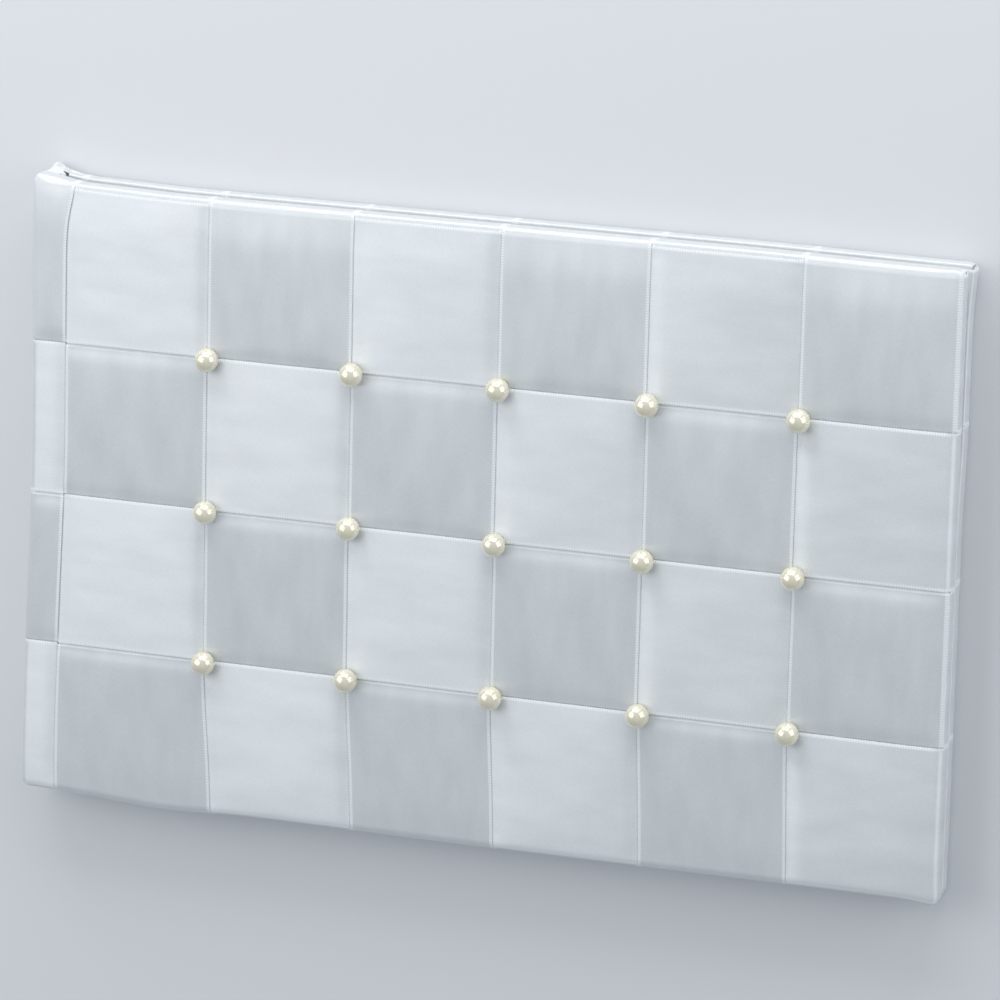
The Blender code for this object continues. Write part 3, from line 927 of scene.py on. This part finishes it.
def build_board(name, material):
    """A board cut square, its corners a little softened, that lies as its ribbons pull it."""
    low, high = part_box(name)
    shape = bmesh.new()
    bmesh.ops.create_cube(shape, size=1.0)
    for v in shape.verts:
        v.co = Vector(low[k] if v.co[k] < 0 else high[k] for k in range(3))
    bmesh.ops.bevel(shape, geom=list(shape.edges), offset=0.00025, segments=1, affect="EDGES")
    for axis in (0, 1, 2):
        count = max(1, int((high[axis] - low[axis]) / (BOARD_CELL if axis < 2 else BOARD_CELL_DEPTH)))
        for k in range(1, count):
            place = [0.0, 0.0, 0.0]
            place[axis] = low[axis] + (high[axis] - low[axis]) * k / count
            facing = [1.0 if a == axis else 0.0 for a in range(3)]
            geom = list(shape.verts) + list(shape.edges) + list(shape.faces)
            bmesh.ops.bisect_plane(shape, geom=geom, dist=1e-7, plane_co=place, plane_no=facing)
    settings = bpy.context.scene.book_ribbon
    points = np.array([v.co[:] for v in shape.verts])
    for side in (Side("front", settings), Side("back", settings)):
        here = (points[:, 2] > TOP_Z / 2) == side.front
        for v, point in zip([v for v, h in zip(shape.verts, here) if h], hand_laid(side, points[here])):
            v.co = point
    mesh = bpy.data.meshes.new(f"cut_{name}")
    shape.to_mesh(mesh)
    shape.free()
    obj = add_piece(f"cut_{name}", mesh, material)
    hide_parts(name)
    return obj


# ---- operators


class BOOK_OT_cover_ribbons(bpy.types.Operator):
    """Weave the satin ribbons of both covers and the spine."""

    bl_idname = "book.cover_ribbons"
    bl_label = "Weave the ribbons"

    def execute(self, context):
        settings = context.scene.book_ribbon
        material = material_named("woven_satin_ribbon", satin_ribbon, settings)
        for name in ("front", "back"):
            side = Side(name, settings)
            body = f"{name}_cover"
            for obj, column, length in build_warps(side, material):
                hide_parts(f"{name}_warp_ribbon_{column}")
                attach(obj, body)
            for obj, row, length in build_wefts(side, material):
                nodes = [f"{name}_weft_ribbon_{row}"]
                if side.front:
                    nodes.append(f"spine_weft_ribbon_{row}")
                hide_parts(*nodes)
                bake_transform(obj)
            obj, width, length = build_spine_ribbon(side, material)
            nodes = [f"{name}_spine_ribbon_flank"]
            if side.front:
                nodes.append("spine_ribbon")
            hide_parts(*nodes)
            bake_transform(obj)
        return {"FINISHED"}


class BOOK_OT_pearls(bpy.types.Operator):
    """Set a pearl on each crossing of the front cover."""

    bl_idname = "book.pearls"
    bl_label = "Set the pearls"

    def execute(self, context):
        settings = context.scene.book_pearl
        material = material_named("lacquered_imitation_pearl", dipped_pearl, settings)
        radius = PEARL_DIAMETER / 2
        for row in (1, 2, 3):
            for column in range(1, 6):
                low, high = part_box(f"pearl_{row}_{column}")
                seat = high.z - radius - low.z
                mesh = bpy.data.meshes.new(f"nacre_pearl_{row}_{column}")
                shape = bmesh.new()
                bmesh.ops.create_uvsphere(shape, u_segments=48, v_segments=32, radius=radius)
                random = np.random.default_rng(row * 10 + column)
                squash = random.uniform(0.985, 1.0, 2)
                for v in shape.verts:
                    v.co.x *= squash[0]
                    v.co.y *= squash[1]
                    v.co.z = max(v.co.z, -seat)
                bmesh.ops.remove_doubles(shape, verts=shape.verts, dist=1e-6)
                shape.to_mesh(mesh)
                shape.free()
                smooth_shaded(mesh, 40)
                obj = add_piece(f"nacre_pearl_{row}_{column}", mesh, material)
                obj.location = ((low.x + high.x) / 2, (low.y + high.y) / 2, low.z + seat)
                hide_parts(f"pearl_{row}_{column}")
                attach(obj, "front_cover")
        return {"FINISHED"}


class BOOK_OT_boards(bpy.types.Operator):
    """Finish the boards, wadding, linings, leaves and sewing cord."""

    bl_idname = "book.boards"
    bl_label = "Finish the boards and leaves"

    def execute(self, context):
        settings = context.scene.book_board
        board = material_named("pressed_grey_board", grey_board, settings)
        wadding = material_named("carded_polyester_wadding", polyester_wadding, settings)
        lining = material_named("calendered_lining_paper", lining_paper, settings)
        leaf = material_named("guillotined_wove_paper", leaf_paper, settings)
        thread = material_named("waxed_linen_thread", linen_thread, settings)
        for name in ("front", "back"):
            side = Side(name, context.scene.book_ribbon)
            pad = build_wadding(side, wadding)
            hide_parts(f"{name}_wadding")
            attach(pad, f"{name}_cover")
            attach(build_board(f"{name}_board", board), f"{name}_cover")
        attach(build_board("spine_board", board), "spine")
        for number in (1, 2, 3):
            stack = build_leaves(f"leaf_section_{number}", 3, 0.00035, number, leaf)
            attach(stack, f"leaf_section_{number}")
        finishes = {"sewing_cord": thread, "front_lining": lining, "back_lining": lining}
        finishes |= {"front_flyleaf": leaf, "back_flyleaf": leaf}
        for name, material in finishes.items():
            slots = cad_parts[name].material_slots
            for slot in slots:
                slot.material = material
            if not slots:
                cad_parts[name].data.materials.append(material)
        return {"FINISHED"}


def add_softbox(name, direction, distance, size, watts, target):
    """A rectangular softbox that faces the book."""
    data = bpy.data.lights.new(name, "AREA")
    data.shape = "RECTANGLE"
    data.size, data.size_y = size
    data.energy = watts
    data.color = (1.0, 1.0, 1.0)
    obj = bpy.data.objects.new(name, data)
    away = Vector(direction).normalized()
    obj.location = target + away * distance
    obj.rotation_euler = away.to_track_quat("Z", "Y").to_euler()
    bpy.context.scene.collection.objects.link(obj)
    return obj


class BOOK_OT_stage(bpy.types.Operator):
    """Lay the pale floor, and set the softboxes and the camera."""

    bl_idname = "book.stage"
    bl_label = "Set the stage"

    def execute(self, context):
        scene = context.scene
        settings = scene.book_stage
        scene.view_settings.view_transform = "Standard"
        mesh = bpy.data.meshes.new("floor")
        reach = 3.0
        corners = [(-reach, -reach, 0), (reach, -reach, 0), (reach, reach, 0), (-reach, reach, 0)]
        mesh.from_pydata(corners, [], [(0, 1, 2, 3)])
        paint = {"Base Color": linear(settings.floor_colour), "Roughness": 0.8}
        floor = add_piece("floor", mesh, new_material("matt_painted_floor", paint)[0])

        centre = Vector((0.0, 0.0, TOP_Z))
        add_softbox("top_softbox", (-0.035, 0.95, 0.33), 0.75, (0.85, 0.42), 3.65, centre)
        add_softbox("left_softbox", (-0.653, 0.273, 0.71), 0.8, (0.6, 0.8), 2.38, centre)
        add_softbox("right_softbox", (0.885, 0.354, 0.292), 0.85, (0.65, 0.55), 2.15, centre)

        world = bpy.data.worlds.new("studio")
        world.use_nodes = True
        background = world.node_tree.nodes["Background"]
        background.inputs["Color"].default_value = linear("#DDE6EE")
        background.inputs["Strength"].default_value = 0.54
        scene.world = world

        back = Vector((0.327185, 0.236885, 0.914787)).normalized()
        up = Vector((-0.102881, 0.971244, -0.214708)).normalized()
        right = up.cross(back).normalized()
        camera_data = bpy.data.cameras.new("camera")
        camera_data.lens = settings.lens
        camera_data.sensor_width = 36.0
        camera = bpy.data.objects.new("camera", camera_data)
        turn = Matrix((right, up, back)).transposed().to_4x4()
        place = Vector((0.00544, 0.01072, TOP_Z)) + back * 1.45469
        camera.matrix_world = Matrix.Translation(place) @ turn
        scene.collection.objects.link(camera)
        scene.camera = camera
        return {"FINISHED"}


class BOOK_PT_panel(bpy.types.Panel):
    """The book's building steps."""

    bl_label = "Ribbon-woven book"
    bl_idname = "BOOK_PT_panel"
    bl_space_type = "VIEW_3D"
    bl_region_type = "UI"
    bl_category = "Book"

    def draw(self, context):
        for operator in OPERATORS:
            self.layout.operator(operator.bl_idname)


SETTINGS = {
    "book_ribbon": RibbonSettings,
    "book_pearl": PearlSettings,
    "book_board": BoardSettings,
    "book_stage": StageSettings,
}
OPERATORS = (BOOK_OT_cover_ribbons, BOOK_OT_pearls, BOOK_OT_boards, BOOK_OT_stage)


def register():
    for cls in (*SETTINGS.values(), *OPERATORS, BOOK_PT_panel):
        bpy.utils.register_class(cls)
    for name, cls in SETTINGS.items():
        setattr(bpy.types.Scene, name, bpy.props.PointerProperty(type=cls))


def unregister():
    for name in SETTINGS:
        delattr(bpy.types.Scene, name)
    for cls in (BOOK_PT_panel, *reversed(OPERATORS), *reversed(list(SETTINGS.values()))):
        bpy.utils.unregister_class(cls)


def main():
    register()
    bpy.ops.book.cover_ribbons()
    bpy.ops.book.pearls()
    bpy.ops.book.boards()
    bpy.ops.book.stage()


if __name__ == "__main__":
    main()
